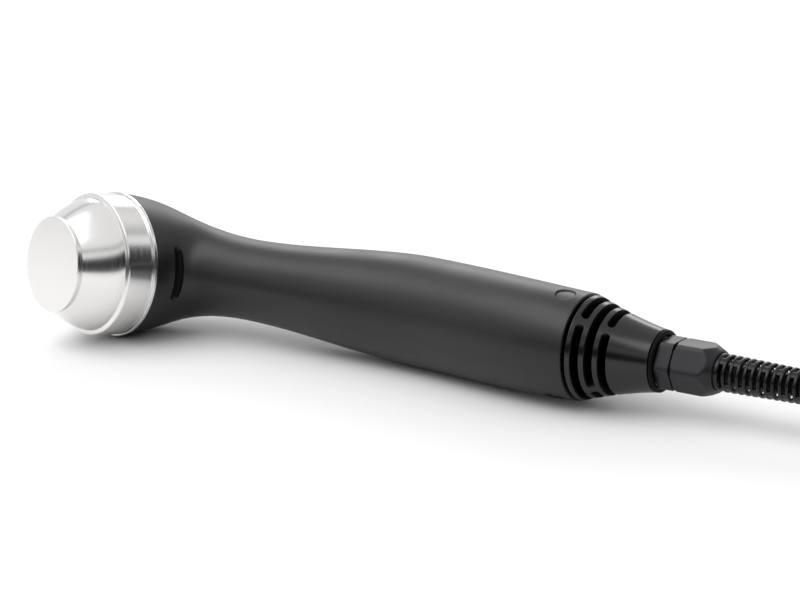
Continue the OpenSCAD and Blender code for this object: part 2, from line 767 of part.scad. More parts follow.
module cable_tie() {
    from = sqrt(pow((coil_mid_d - coil_w) / 2, 2) - pow(tie_w / 2, 2)) - tie_gap;
    to = (coil_mid_d + coil_w) / 2 + tie_gap;
    color([0.05, 0.05, 0.06]) translate(coil_at) difference() {
        translate([from - tie_t, -tie_w / 2, coil_lift - tie_t])
            cube([to - from + 2 * tie_t, tie_w, coil_h + 2 * tie_t]);
        translate([from, -tie_w / 2 - over, coil_lift])
            cube([to - from, tie_w + 2 * over, coil_h]);
    }
}

module cable_end() {
    color([0.12, 0.12, 0.12]) tube(spline(end_route, cable_steps), cable_r, cable_sides);
}

module plug_relief() {
    color([0.15, 0.15, 0.16]) in_plug() difference() {
        cylinder(d1 = plug_relief_d, d2 = plug_neck_d, h = plug_relief_len);
        for (i = [1:plug_grooves]) translate([0, 0, i * plug_relief_len / (plug_grooves + 1)])
            ring(plug_neck_d, plug_neck_d / 2 - plug_relief_groove_d, plug_groove_w);
    }
}

module plug_body() {
    color([0.17, 0.17, 0.18]) in_plug(plug_relief_len) difference() {
        rotate_extrude() polygon([[0, 0], [plug_back_d / 2, 0],
            [plug_d / 2, (plug_d - plug_neck_d) / 2], [plug_d / 2, plug_body_len - plug_break],
            [plug_d / 2 - plug_break, plug_body_len], [0, plug_body_len]]);
        for (i = [0:grip_grooves - 1])
            translate([0, 0, plug_d / 2 + i * grip_groove_pitch])
                ring(plug_d, plug_d / 2 - plug_groove_d, plug_groove_w);
        translate([0, 0, plug_body_len - plug_nose_len])
            cylinder(r = plug_shank_r + fit / 2, h = plug_nose_len + over);
    }
}

module plug_nose() {
    color("silver") in_plug(plug_relief_len + plug_body_len - plug_nose_len)
        rotate_extrude() polygon([[plug_shell_bore_r, 0], [plug_shank_r, 0],
            [plug_shank_r, plug_nose_len], [plug_nose_d / 2, plug_nose_len],
            [plug_nose_d / 2, 2 * plug_nose_len], [plug_shell_bore_r, 2 * plug_nose_len]]);
}

module plug_insert() {
    color([0.1, 0.1, 0.1]) in_plug(plug_relief_len + plug_body_len - plug_nose_len)
        difference() {
            cylinder(r = plug_shell_bore_r - fit, h = 2 * plug_nose_len - plug_recess);
            for (i = [1:pin_count]) rotate([0, 0, i * 360 / pin_count])
                translate([plug_nose_d * pin_ring_share, 0, -over])
                    cylinder(d = pin_d + fit, h = 2 * plug_nose_len, $fn = 24);
        }
}

module plug_pins() {
    color("gold") in_plug(plug_relief_len + plug_body_len - plug_nose_len)
        for (i = [1:pin_count]) rotate([0, 0, i * 360 / pin_count])
            translate([plug_nose_d * pin_ring_share, 0, 0])
                cylinder(d = pin_d, h = 2 * plug_nose_len - pin_inset, $fn = 24);
}

head_cup();
crystal_disc();
crystal_ring();
contact_holder();
contact_pin();
clamp_ring();
carrier_ring();
carrier_seal();
handle_shell();
board_former_front();
board_former_rear();
matching_board();
board_terminals();
tuning_core();
tuning_winding();
board_chips();
board_capacitors();
lead_socket();
crystal_lead();
ground_lead();
inner_leads();
tail_boot();
gland_locknut();
gland_seal();
gland_body();
gland_grommet();
gland_nut();
bend_relief();
cable();
cable_coil();
cable_tie();
cable_end();
plug_relief();
plug_body();
plug_nose();
plug_insert();
plug_pins();
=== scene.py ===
# %% [markdown]
# # A therapeutic ultrasound head
#
# The head lies on a pale table and leans back a little. This script loads the imported CAD part as a
# fixed frame, then builds a smooth skin for every piece that shows, from short formulas:
#
# - the metal head and the sealing ring are **profiles turned about an axis**;
# - the handle is **lofted** from the round rim of the head to the round tail by cubic curves;
# - the slots of the boot and the hexagons of the gland are **radius functions** r(angle, x);
# - the free cable is one curve through listed points and a flat double coil.
#
# Lengths are in millimetres inside the formulas, as in the CAD source, and become metres when a
# mesh is made.

import json

import bpy
import numpy as np
from mathutils import Matrix, Vector


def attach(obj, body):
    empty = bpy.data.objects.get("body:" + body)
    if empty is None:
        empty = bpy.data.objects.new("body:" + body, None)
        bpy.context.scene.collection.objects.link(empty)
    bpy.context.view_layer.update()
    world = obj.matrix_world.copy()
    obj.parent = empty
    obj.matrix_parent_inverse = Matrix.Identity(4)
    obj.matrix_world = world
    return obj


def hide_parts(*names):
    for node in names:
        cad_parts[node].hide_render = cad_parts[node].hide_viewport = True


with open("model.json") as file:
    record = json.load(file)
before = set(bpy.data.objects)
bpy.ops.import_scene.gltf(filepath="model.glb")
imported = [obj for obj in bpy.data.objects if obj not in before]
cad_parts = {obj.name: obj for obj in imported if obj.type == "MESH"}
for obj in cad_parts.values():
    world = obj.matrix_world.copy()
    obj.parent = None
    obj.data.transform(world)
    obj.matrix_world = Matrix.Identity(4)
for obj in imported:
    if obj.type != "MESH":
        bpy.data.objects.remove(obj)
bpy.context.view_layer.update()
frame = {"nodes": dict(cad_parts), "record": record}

MM = 0.001


# %% [markdown]
# ## Where things are
#
# The *device frame* has X along the handle, the treatment face looking to -Y and the plane of
# symmetry at Z = 0, so that each piece is written where it is simplest. On the table the real one
# leans back, and its handle rises a little towards the head. Three steps lead from a formula to the
# table:
#
# 1. `head(p)` or `tail(p)` turns a local point, whose Z runs along the head's or the tail's axis,
#    into the device frame,
# 2. `laid(p)` rolls and tips the device so that it rests on the table,
# 3. the factor MM makes metres.
#
# An object's own rotation could do the same. The points are moved instead, so that every object
# stays unturned at the origin.


# %% Frames
def turn(axis, degrees):
    """Rotation matrix about axis 0, 1 or 2: the other two axes mix by cosine and sine."""
    c, s = np.cos(np.radians(degrees)), np.sin(np.radians(degrees))
    i, j = [(1, 2), (2, 0), (0, 1)][axis]
    m = np.eye(3)
    m[i, i], m[j, j], m[i, j], m[j, i] = c, c, -s, s
    return m


LEAN_BACK, HEAD_RISE, HEAD_TILT = 11, 1.7, 73.5
TAIL_AT = np.array([51.0, 3.5, 17.5])
FACE_AT = np.array([-184.8, -31.0, 0.0])
LAY = turn(1, HEAD_RISE) @ turn(0, -LEAN_BACK)
HEAD = turn(2, HEAD_TILT) @ turn(1, 90)
TAIL = turn(1, 90)
BACK = HEAD[:, 2]
SIDE = np.array([np.sin(np.radians(HEAD_TILT)), -np.cos(np.radians(HEAD_TILT)), 0.0])


def laid(p):
    """Device frame to table frame, still in mm: p' = LAY p + TAIL_AT."""
    return np.asarray(p, float) @ LAY.T + TAIL_AT


def head(p):
    """Local point of the treatment head to the table frame: HEAD p + FACE_AT, then laid."""
    return laid(np.asarray(p, float) @ HEAD.T + FACE_AT)


def tail(p):
    """Local point of the tail, its Z along the tail's axis, to the table frame: TAIL p, then laid."""
    return laid(np.asarray(p, float) @ TAIL.T)


print("face centre at", np.round(head([0, 0, 0]), 2), "looking along", np.round(-LAY @ BACK, 3))

# %% [markdown]
# ## The camera
#
# Its place comes from a fit of the handle's outline and the head's ellipses to the picture:
# a long lens (108 mm on a 36 mm sensor) from the front right, looking down by about 16 degrees.
# A Track To constraint could aim it. Here its three directions are worked out by cross products,
# because that keeps its roll as well.

# %% Camera
LENS, SENSOR = 108, 36
CAMERA_AT = [335.36, -624.04, 104.83]
CAMERA_AIM, CAMERA_UP = [-0.538, 0.832, -0.1345], [-0.150, 0.0624, 0.987]
cam_data = bpy.data.cameras.new("camera")
cam_data.lens, cam_data.sensor_width = LENS, SENSOR
cam_data.clip_start, cam_data.clip_end = 0.01, 20
camera = bpy.data.objects.new("camera", cam_data)
bpy.context.scene.collection.objects.link(camera)
eye = laid(CAMERA_AT) * MM
aim, above = LAY @ np.array(CAMERA_AIM), LAY @ np.array(CAMERA_UP)
aim /= np.linalg.norm(aim)
right = np.cross(aim, above)
right /= np.linalg.norm(right)
above = np.cross(right, aim)
pose = np.eye(4)
pose[:3] = np.stack([right, above, -aim, eye], axis=1)
camera.matrix_world = Matrix(pose.tolist())
bpy.context.scene.camera = camera
bpy.context.scene.view_settings.view_transform = "Standard"
print("camera at", np.round(eye, 3))

# %% [markdown]
# ## The route of the free cable
#
# The real one ends in a soft round cable with a plug. The line leaves the bend relief, sinks to the
# table, runs into a coil of four layers and comes out of the top layer to the plug. In each layer
# the radius grows or shrinks by one cable width a turn, so neighbours just touch:
#
# r(turns) = r_out - width * turns, then back out again one layer higher, and so on.


# %% Cable route
def cubic(a, b, sa, sb, t):
    """Cubic curve from a to b whose slopes at the ends are sa and sb:
    (2t^3-3t^2+1) a + (t^3-2t^2+t) sa + (3t^2-2t^3) b + (t^3-t^2) sb."""
    return (
        (2 * t**3 - 3 * t**2 + 1) * a
        + (t**3 - 2 * t**2 + t) * sa
        + (3 * t**2 - 2 * t**3) * b
        + (t**3 - t**2) * sb
    )


def spline(points, steps):
    """Smooth line through points: each span is a cubic whose slopes are half the chord
    from the point before to the point after."""
    p = np.asarray(points, float)
    before = np.vstack([p[:1], p[:-1]])
    after = np.vstack([p[1:], p[-1:]])
    slope = (after - before) / 2
    t = (np.arange(steps) / steps)[None, :, None]
    spans = cubic(p[:-1, None], p[1:, None], slope[:-1, None], slope[1:, None], t)
    return np.vstack([spans.reshape(-1, 3), p[-1:]])


CABLE_D = 6.2
FREE_ROUTE = [
    [149, 3.5, 14.6], [160, 2, 13.9], [171, -2.1, 11.5], [182, -7.6, 8.2], [193, -13.8, 5.3],
    [204, -19.5, 4], [215, -23.9, 3.9], [228, -26, 3.9], [239, -26, 3.9],
]
END_ROUTE = [
    [239, 50, 22.5], [228, 50, 22.5], [216, 50, 21.4], [204, 50, 18.2], [192, 50, 13.6],
    [181, 50, 9.9], [170, 50, 8.2],
]
COIL_AT = np.array([250.0, 12.0, 0.0])
COIL_OUT, COIL_IN, LAYER_LOW = 38.0, 25.6, 3.9
COIL_TURNS, LAYER_TURNS, RISE_TURNS = 8.5, 2, 1 / 6


def coil_points(per_turn=30):
    """Two turns in, a sixth of a turn up, two turns out, a sixth up, and the same once more.
    The turn number s runs from 0 to 8.5 and the angle is 360 s - 90 degrees."""
    s = np.arange(0, COIL_TURNS * per_turn + 1) / per_turn
    leg = LAYER_TURNS + RISE_TURNS
    stops = np.concatenate([[k * leg, k * leg + LAYER_TURNS] for k in range(4)])
    r = np.interp(s, stops, [COIL_OUT, COIL_IN, COIL_IN, COIL_OUT] * 2)
    rise = sum(np.clip((s - k * leg - LAYER_TURNS) / RISE_TURNS, 0, 1) for k in range(3))
    part = rise - np.floor(rise)
    z = LAYER_LOW + CABLE_D * (np.floor(rise) + 3 * part**2 - 2 * part**3)
    a = 2 * np.pi * s - np.pi / 2
    return np.stack([COIL_AT[0] + r * np.cos(a), COIL_AT[1] + r * np.sin(a), z], axis=1)


cord_points = np.vstack([spline(FREE_ROUTE, 3), coil_points(), spline(END_ROUTE, 3)]) * MM

# %% [markdown]
# ## The cord object
#
# The points become a poly curve with a round bevel. Blender multiplies the bevel's depth by each
# point's radius, and it measures the curve's box with that radius, so the depth is 1 and the true
# radius of the cable stands at the points.

# %% Cord
curve = bpy.data.curves.new("cord", "CURVE")
curve.dimensions = "3D"
curve.bevel_depth = 1.0
curve.bevel_resolution = 5
curve.use_fill_caps = True
line = curve.splines.new("POLY")
line.points.add(len(cord_points) - 1)
line.points.foreach_set("co", np.c_[cord_points, np.ones(len(cord_points))].ravel())
line.points.foreach_set("radius", np.full(len(cord_points), CABLE_D / 2 * MM))
line.use_smooth = True
cord = bpy.data.objects.new("cord", curve)
bpy.context.scene.collection.objects.link(cord)
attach(cord, "root")
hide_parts("cable", "cable_coil", "cable_end")
print("cord", CABLE_D, "mm thick")

# %% [markdown]
# ## Turning grids of points into meshes
#
# Every skin below is a grid of points, rows along the piece and columns round it, and the grid
# closes round the piece. Modifiers could round the edges of a coarse mesh. A grid from a formula is
# chosen, because it puts the points where the real edges are and knows where a tool or a slot ran.
# Rows that lie close together make a soft edge; the others stay far apart.


# %% Mesh helpers
def quads_of(rows, cols):
    """Corner numbers of the squares between neighbouring points of a grid, wrapping round."""
    ids = np.arange(rows * cols).reshape(rows, cols)
    nxt = np.roll(ids, -1, axis=1)
    return np.stack([ids[:-1], nxt[:-1], nxt[1:], ids[1:]], axis=-1).reshape(-1, 4)


def outward(points, quads):
    """Flips the squares if their signed volume, the sum of a . (b x c) over their triangles with
    corners a, b, c measured from the middle, is negative."""
    a, b, c, d = (points[quads[:, k]] - points.mean(axis=0) for k in range(4))
    volume = np.einsum("ij,ij->i", a, np.cross(b, c)).sum()
    volume += np.einsum("ij,ij->i", a, np.cross(c, d)).sum()
    return quads if volume > 0 else quads[:, ::-1]


def skin(grids, name, stands_for, material, turned=None):
    """One object from one or more grids of points in mm. turned holds, for each point, its radius
    and distance along the turning axis, for the tool marks, or its share of painted shade."""
    grids = [grids] if isinstance(grids, np.ndarray) else grids
    points, quads = [], []
    count = 0
    for g in grids:
        flat = g.reshape(-1, 3)
        points.append(flat)
        quads.append(outward(flat, quads_of(*g.shape[:2])) + count)
        count += len(flat)
    points, quads = np.vstack(points) * MM, np.vstack(quads)
    me = bpy.data.meshes.new(name)
    me.vertices.add(len(points))
    me.vertices.foreach_set("co", points.ravel())
    me.loops.add(quads.size)
    me.loops.foreach_set("vertex_index", quads.ravel())
    me.polygons.add(len(quads))
    me.polygons.foreach_set("loop_start", np.arange(0, quads.size, 4))
    me.polygons.foreach_set("use_smooth", np.ones(len(quads), bool))
    if turned is not None:
        # For the handle and the boot, X of turned is the share of painted shade in slots and hollows
        layer = me.attributes.new("turned", "FLOAT_VECTOR", "POINT")
        layer.data.foreach_set("vector", turned.reshape(-1, 3).ravel())
    me.update(calc_edges=True)
    me.validate()
    obj = bpy.data.objects.new(name, me)
    bpy.context.scene.collection.objects.link(obj)
    me.materials.append(material)
    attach(obj, "root")
    if stands_for:
        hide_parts(*stands_for)
    print(name, len(points), "points")


def bend(a, b, c, t):
    """Quadratic curve from a to c that is drawn towards b: (1-t)^2 a + 2t(1-t) b + t^2 c."""
    return (1 - t) ** 2 * a + 2 * t * (1 - t) * b + t**2 * c


def soften(points, radius, steps=4):
    """Rounds the corners of a profile. Each corner b becomes the curve bend(a, b, c) between points
    a and c at the given distance from it, at most 0.36 of the shorter side, with one more point at
    1.35 times that distance on each side, so that flat sides stay flat."""
    p = np.asarray(points, float)
    a, b, c = p[:-2], p[1:-1], p[2:]
    lu = np.linalg.norm(a - b, axis=1, keepdims=True)
    lv = np.linalg.norm(c - b, axis=1, keepdims=True)
    u, v = (a - b) / lu, (c - b) / lv
    radius = np.broadcast_to(np.asarray(radius, float), (len(p),))[1:-1, None]
    s = np.minimum(radius, 0.36 * np.minimum(lu, lv))[:, None]
    t = np.linspace(0, 1, steps + 1)[None, :, None]
    b, u, v = b[:, None], u[:, None], v[:, None]
    arc = bend(b + s * u, b, b + s * v, t)
    arc = np.concatenate([b + 1.35 * s * u, arc, b + 1.35 * s * v], axis=1)
    out = np.vstack([p[:1], arc.reshape(-1, 2), p[-1:]])
    gap = np.linalg.norm(np.diff(out, axis=0), axis=1)
    return out[np.r_[True, gap > 1e-4]]


def polar(r, x, a):
    """Grid of a piece from its radii r, one per distance x and angle a: (r cos a, r sin a, x)."""
    r, x, a = np.broadcast_arrays(r, x[:, None], a[None, :])
    return np.stack([r * np.cos(a), r * np.sin(a), x], axis=-1)


def revolve(profile, cols=180):
    """Grid of a turned piece, and the radius, the distance along the axis and the angle of each
    of its points."""
    a = np.linspace(0, 2 * np.pi, cols, endpoint=False)
    r, z = np.asarray(profile, float).T
    marks = np.stack(np.broadcast_arrays(r[:, None], z[:, None], a[None, :]), axis=-1)
    return polar(r[:, None], z, a), marks


def smooth_min(a, b, k):
    """Smaller of two values with a blend of width k: m - h^2 k / 4, h = max(k - |a - b|, 0) / k."""
    h = np.maximum(k - np.abs(a - b), 0) / k
    return np.minimum(a, b) - h * h * k / 4


def dense(parts):
    """Sorted distinct positions from (from, to, count) stretches."""
    return np.unique(np.round(np.concatenate([np.linspace(*p) for p in parts]), 5))


def round_the_piece(parts):
    """Angles in degrees from 0 to 360 from (from, to, count) stretches that may run past either."""
    return np.unique(np.round(dense(parts) % 360, 4))


print("a softened right angle has", len(soften([[0, 0], [1, 0], [1, 1]], 0.2)), "points")

# %% [markdown]
# ## Moulded grain
#
# The black plastics of the real one come from a textured mould, so they have a fine height field
# and a little change of gloss. A picture of grain could be laid over them. Noise is chosen, because
# it needs no picture and no unwrapping. It lives in a *node group*, one small net of nodes that
# every plastic can use with its own depth.


# %% Node helpers and the grain
def new_group(name, outputs, inputs=()):
    """Empty shader node group with the named outputs and inputs, and its output node."""
    g = bpy.data.node_groups.new(name, "ShaderNodeTree")
    for label, kind in outputs:
        g.interface.new_socket(label, in_out="OUTPUT", socket_type=kind)
    for label, kind in inputs:
        g.interface.new_socket(label, in_out="INPUT", socket_type=kind)
    return g, g.nodes.new("NodeGroupOutput")


def add(tree, kind, **values):
    """New node. Keys that name an input socket set its value, the others are node properties."""
    node = tree.nodes.new(kind)
    for key, value in values.items():
        label = key.replace("_", " ").title()
        if label in node.inputs and not hasattr(node, key):
            node.inputs[label].default_value = value
        else:
            setattr(node, key, value)
    return node


def wire(tree, *links):
    """Links an output to an input for each (node, its output, node, its input)."""
    for source, out_socket, target, in_socket in links:
        tree.links.new(source.outputs[out_socket], target.inputs[in_socket])


FLOAT, COLOUR = "NodeSocketFloat", "NodeSocketColor"
grain, out = new_group("moulded grain", [("Height", FLOAT), ("Gloss", FLOAT)])
where = add(grain, "ShaderNodeTexCoord")
fine = add(grain, "ShaderNodeTexNoise", scale=2600.0, detail=3.0, roughness=0.6)
broad = add(grain, "ShaderNodeTexNoise", scale=60.0, detail=4.0, roughness=0.55)
spread = add(grain, "ShaderNodeMapRange", from_min=0.3, from_max=0.7)
wire(
    grain,
    (where, "Object", fine, "Vector"),
    (where, "Object", broad, "Vector"),
    (broad, "Fac", spread, "Value"),
    (fine, "Fac", out, "Height"),
    (spread, "Result", out, "Gloss"),
)
print("group", grain.name, "has", len(grain.nodes), "nodes")

# %% [markdown]
# ## Tool marks
#
# A lathe leaves fine rings on the real head. Each turned vertex carries its radius and its
# distance along the axis. The sum of the two changes all along the profile, on the flat face as
# well as on the band, so noise of that one number makes rings everywhere.


# %% Tool marks
def carried(tree):
    """Node whose X, Y and Z are the three numbers that a vertex carries as turned."""
    mark = add(tree, "ShaderNodeAttribute", attribute_name="turned")
    split = add(tree, "ShaderNodeSeparateXYZ")
    wire(tree, (mark, "Vector", split, "Vector"))
    return split


rings, out = new_group("tool marks", [("Height", FLOAT), ("Gloss", FLOAT)])
split = carried(rings)
total = add(rings, "ShaderNodeMath", operation="ADD")
groove = add(rings, "ShaderNodeTexNoise", noise_dimensions="1D", scale=5.0, detail=4.0, roughness=0.7)
stripe = add(rings, "ShaderNodeTexNoise", noise_dimensions="1D", scale=0.8, detail=2.0)
wire(
    rings,
    (split, "X", total, 0),
    (split, "Y", total, 1),
    (total, "Value", groove, "W"),
    (total, "Value", stripe, "W"),
    (groove, "Fac", out, "Height"),
    (stripe, "Fac", out, "Gloss"),
)
print("group", rings.name, "has", len(rings.nodes), "nodes")

# %% [markdown]
# ## Painted slot shade
#
# The real slots are nearly black, because light that falls in hardly comes out again. A thin skin
# has no such depth, so the shade is painted: the vertices of the handle and the boot carry a share
# of painted shade, set from how far in a slot, the parting groove or the recess they lie. A rough
# metal with next to no colour reflects next to nothing, so this group turns a plastic into one
# there. A darker plastic alone would still shine.

# %% Painted slot shade
painted_slot_shade, out = new_group(
    "slot shade",
    [("Colour", COLOUR), ("Metal", FLOAT), ("Rough", FLOAT)],
    [("Base", COLOUR), ("Roughness", FLOAT)],
)
# Painted shade: the near-black colour mixed in where a vertex carries shade in a slot, groove or
# recess
PAINTED_SHADE_COLOUR = (0.0003, 0.0003, 0.0003, 1)
given = painted_slot_shade.nodes.new("NodeGroupInput")
split = carried(painted_slot_shade)
darker = add(painted_slot_shade, "ShaderNodeMix", data_type="RGBA")
darker.inputs["B"].default_value = PAINTED_SHADE_COLOUR
rougher = add(painted_slot_shade, "ShaderNodeMath", operation="MAXIMUM")
wire(
    painted_slot_shade,
    (given, "Base", darker, "A"),
    (split, "X", darker, "Factor"),
    (darker, "Result", out, "Colour"),
    (split, "X", out, "Metal"),
    (split, "X", rougher, 0),
    (given, "Roughness", rougher, 1),
    (rougher, "Value", out, "Rough"),
)
print("group", painted_slot_shade.name, "has", len(painted_slot_shade.nodes), "nodes")

# %% [markdown]
# ## Finishes
#
# The head is bare turned aluminium, the handle matte plastic, the boot and the bend relief a
# smoother one, the gland a half-gloss polyamide, the seal dull rubber. Each is one Principled
# shader with its own colour and roughness, and takes its texture from a group above.


# %% Materials
def surface(name, colour, rough, metal=0.0, group=None, bump=0.0, gloss=0.0, slots=False, **more):
    """Principled material. The group's Height feeds a bump of the given depth in metres, and its
    Gloss moves the roughness by plus or minus half of gloss. slots, which needs a group, turns the
    painted slot shade on, which paints shade into the colour. More sockets are set by name."""
    m = bpy.data.materials.new(name)
    m.use_nodes = True
    t = m.node_tree
    bsdf = t.nodes["Principled BSDF"]
    bsdf.inputs["Base Color"].default_value = (*colour, 1)
    bsdf.inputs["Roughness"].default_value = rough
    bsdf.inputs["Metallic"].default_value = metal
    for key, value in more.items():
        bsdf.inputs[key.replace("_", " ")].default_value = value
    if group is not None:
        fx = add(t, "ShaderNodeGroup", node_tree=group)
        b = add(t, "ShaderNodeBump", distance=bump, strength=1.0)
        r = add(t, "ShaderNodeMapRange", to_min=rough - gloss / 2, to_max=rough + gloss / 2)
        wire(
            t,
            (fx, "Height", b, "Height"),
            (b, "Normal", bsdf, "Normal"),
            (fx, "Gloss", r, "Value"),
            (r, "Result", bsdf, "Roughness"),
        )
    # Painted shade: near-black colour, metal and full roughness where a vertex carries shade
    if slots:
        shade = add(t, "ShaderNodeGroup", node_tree=painted_slot_shade)
        shade.inputs["Base"].default_value = (*colour, 1)
        wire(
            t,
            (r, "Result", shade, "Roughness"),
            (shade, "Colour", bsdf, "Base Color"),
            (shade, "Metal", bsdf, "Metallic"),
            (shade, "Rough", bsdf, "Roughness"),
        )
    return m


DULL = {"Specular_IOR_Level": 0.34}
ALUMINIUM = surface("turned aluminium", (0.81, 0.80, 0.785), 0.19, 1.0, rings, 1.0e-6, 0.08)
# The handle and the boot take the painted slot shade (the last True)
HANDLE = surface("handle plastic", (0.004, 0.004, 0.005), 0.41, 0, grain, 6e-6, 0.06, True)
BOOT = surface("boot plastic", (0.003, 0.003, 0.004), 0.23, 0, grain, 2e-6, 0.06, True)
GLAND = surface("gland polyamide", (0.010, 0.010, 0.013), 0.36, 0, grain, 5e-6, 0.06, **DULL)
RELIEF = surface("relief polyamide", (0.002, 0.002, 0.0025), 0.25, 0, grain, 2e-6, 0.05, **DULL)
JACKET = surface("cable jacket", (0.006, 0.006, 0.0065), 0.40, 0, grain, 5e-6, 0.05)
SEAL = surface("seal rubber", (0.0015, 0.0015, 0.0015), 0.6, Specular_IOR_Level=0.15)
curve.materials.append(JACKET)
print("materials", len(bpy.data.materials))

# %% [markdown]
# ## The metal head
#
# The real head is one piece of turned aluminium: flat face, bright land, undercut, a flare that is
# slightly bent, a small step, band, groove and lip. A Screw modifier could turn the profile
# (radius, distance from the face). Here `revolve` does it, because it also gives every vertex the
# radius and the distance that the tool marks read.

# %% Metal head
FACE_R, FLARE_R, BAND_R, LIP_R, BORE_R = 15.8, 22.1, 23.6, 24.15, 19.2
LAND_TO, FLARE_FROM, BAND_FROM, BAND_TO, LIP_FROM, HEAD_LEN = 1.2, 2.0, 14.2, 23.6, 24.2, 25.5
UNDERCUT, GROOVE = 0.5, 0.4
flare = bend(
    np.array([FACE_R - 0.3, FLARE_FROM]),
    np.array([FACE_R + (FLARE_R - FACE_R) * 0.9, BAND_FROM * 0.7]),
    np.array([FLARE_R, BAND_FROM]),
    np.linspace(0, 1, 33)[:, None],
)
head_profile = np.vstack(
    [
        [[0.02, 0], [FACE_R, 0], [FACE_R, LAND_TO]],
        [[FACE_R - UNDERCUT, LAND_TO], [FACE_R - UNDERCUT, FLARE_FROM]],
        flare,
        [[BAND_R - 0.2, BAND_FROM + 0.3], [BAND_R, BAND_FROM + 0.7]],
        [[BAND_R, BAND_TO], [BAND_R - GROOVE, BAND_TO]],
        [[BAND_R - GROOVE, LIP_FROM], [LIP_R, LIP_FROM]],
        [[LIP_R, HEAD_LEN], [BORE_R, HEAD_LEN]],
    ]
)
FACE_EDGES = [0, 0.3, 0.15, 0.08, 0.08, 0.15]
BAND_EDGES = [0.05, 0.15, 0.15, 0.2, 0.1, 0.1, 0.25, 0.25, 0]
edge = np.concatenate([FACE_EDGES, np.zeros(len(flare) - 2), BAND_EDGES])
grid, marks = revolve(soften(head_profile, edge), 256)
skin(head(grid), "head_cup_skin", ["head_cup"], ALUMINIUM, marks)

# %% [markdown]
# ## The form of the handle
#
# The real handle is one moulding with no seam. It could be sculpted or lofted through drawn rings.
# Cubic curves are chosen, because each needs only its ends and the way it leaves them. In the bell,
# the point at angle a goes from the rim of the head to the neck and leaves square to the rim,
# 6 degrees inwards. In the inner bend both pulls are scaled by 1 - 0.45 max(0, sin a)^2, so that
# the skin turns there without a fold. Behind the neck the half-width is one cubic from neck to
# swell and one from swell to tail, round a middle line that moves from 11 mm behind the tail's axis
# back onto it.

# %% Handle functions
NECK_X, NECK_R, SWELL_X, SWELL_R, TAIL_R, TAIL_SLOPE = 133.0, 13.8, 66.0, 17.5, 16.25, -0.05
NECK_BACK, NECK_FLAT, STRAIGHT_X = 11.0, 0.973, 80
RIM_LEAN, RIM_PULL, NECK_PULL, BEND_EASE = 6, 72, 81.0, 0.45


def grip_r(x):
    """Half-width of the grip: cubic(neck, swell) in front of the swell, cubic(swell, tail) behind."""
    front = cubic(NECK_R, SWELL_R, 0, 0, (x + NECK_X) / (NECK_X - SWELL_X))
    rear = cubic(SWELL_R, TAIL_R, 0, TAIL_SLOPE * SWELL_X, (x + SWELL_X) / SWELL_X)
    return np.where(x < -SWELL_X, front, rear)


def grip_y(x):
    """Offset of the grip's middle behind the tail's axis: it runs out over the last 80 mm."""
    return NECK_BACK * cubic(1, 0, 0, 0, np.clip((x + STRAIGHT_X) / STRAIGHT_X, 0, 1))


def grip_flat(x):
    """How much the section is pressed flat across: 0.973 at the neck, 1 at the swell."""
    return NECK_FLAT + (1 - NECK_FLAT) * np.clip((x + NECK_X) / (NECK_X - SWELL_X), 0, 1)


def rim_dir(a):
    """Direction out from the head's axis at angle a: Z cos a + SIDE sin a."""
    return np.cos(a)[..., None] * np.array([0, 0, 1.0]) + np.sin(a)[..., None] * SIDE


def grip_dir(a, flat):
    """Direction out from the handle's middle line at angle a: (0, -sin a, flat cos a)."""
    return np.stack([0 * a, -np.sin(a), flat * np.cos(a)], axis=-1)


def bell_at(t, a, r0, h0, r1):
    """Point of the bell at t between the rim, of radius r0 at distance h0 from the face, and the
    neck, of radius r1: a cubic between the two whose pulls ease in the inner bend."""
    t = t[..., None]
    lean = np.radians(RIM_LEAN)
    start = FACE_AT + BACK * h0 + rim_dir(a) * r0
    end = np.array([-NECK_X, NECK_BACK, 0]) + grip_dir(a, NECK_FLAT + 0 * a) * r1
    share = (1 - BEND_EASE * np.maximum(0, np.sin(a)) ** 2)[..., None]
    pull = (BACK * np.cos(lean) - rim_dir(a) * np.sin(lean)) * RIM_PULL * share
    return cubic(start, end, pull, np.array([NECK_PULL, 0, 0]) * share, t)


def grip_at(x, a):
    """Point of the grip at x and angle a: middle line + direction out times half-width."""
    middle = np.stack([x, grip_y(x), 0 * x], axis=-1)
    return middle + grip_dir(a, grip_flat(x)) * grip_r(x)[..., None]


def away(grid):
    """Unit normals of a closed grid: the cross product of its two gradients."""
    wrapped = np.concatenate([grid[:, -1:], grid, grid[:, :1]], axis=1)
    n = np.cross(np.gradient(grid, axis=0), np.gradient(wrapped, axis=1)[:, 1:-1])
    return n / np.maximum(np.linalg.norm(n, axis=-1, keepdims=True), 1e-9)


print("grip is", 2 * SWELL_R, "mm wide at the swell and", 2 * NECK_R, "mm at the neck")

# %% [markdown]
# ## The two grids of the handle
#
# The rows and columns crowd together where the recess and the two bosses will be, because only
# there the skin has small forms. An even grid that fine would need many times the points.

# %% Bell and grip
BOSS_X, BOSS_TURN = 6.8, 20
boss_zones = [(c - 13, c + 13, 60) for c in (BOSS_TURN, 180 - BOSS_TURN)]
deg = round_the_piece([(0, 360, 145), *boss_zones, (66, 114, 49)])
angles = np.radians(deg)
t_rows = dense([(0, 0.03, 7), (0.03, 0.21, 10), (0.21, 0.35, 70), (0.35, 1, 60)])
bell = bell_at(*np.meshgrid(t_rows, angles, indexing="ij"), LIP_R - 0.3, HEAD_LEN, NECK_R)
x_rows = dense([(-NECK_X, -11, 74), (-10.4, -3.2, 64), (-3, -1, 5), (-1, -0.85, 2)])[1:]
grip_x, grip_a = np.meshgrid(x_rows, angles, indexing="ij")
grip = grip_at(grip_x, grip_a)
print("bell", bell.shape[:2], "and grip", grip.shape[:2], "points")

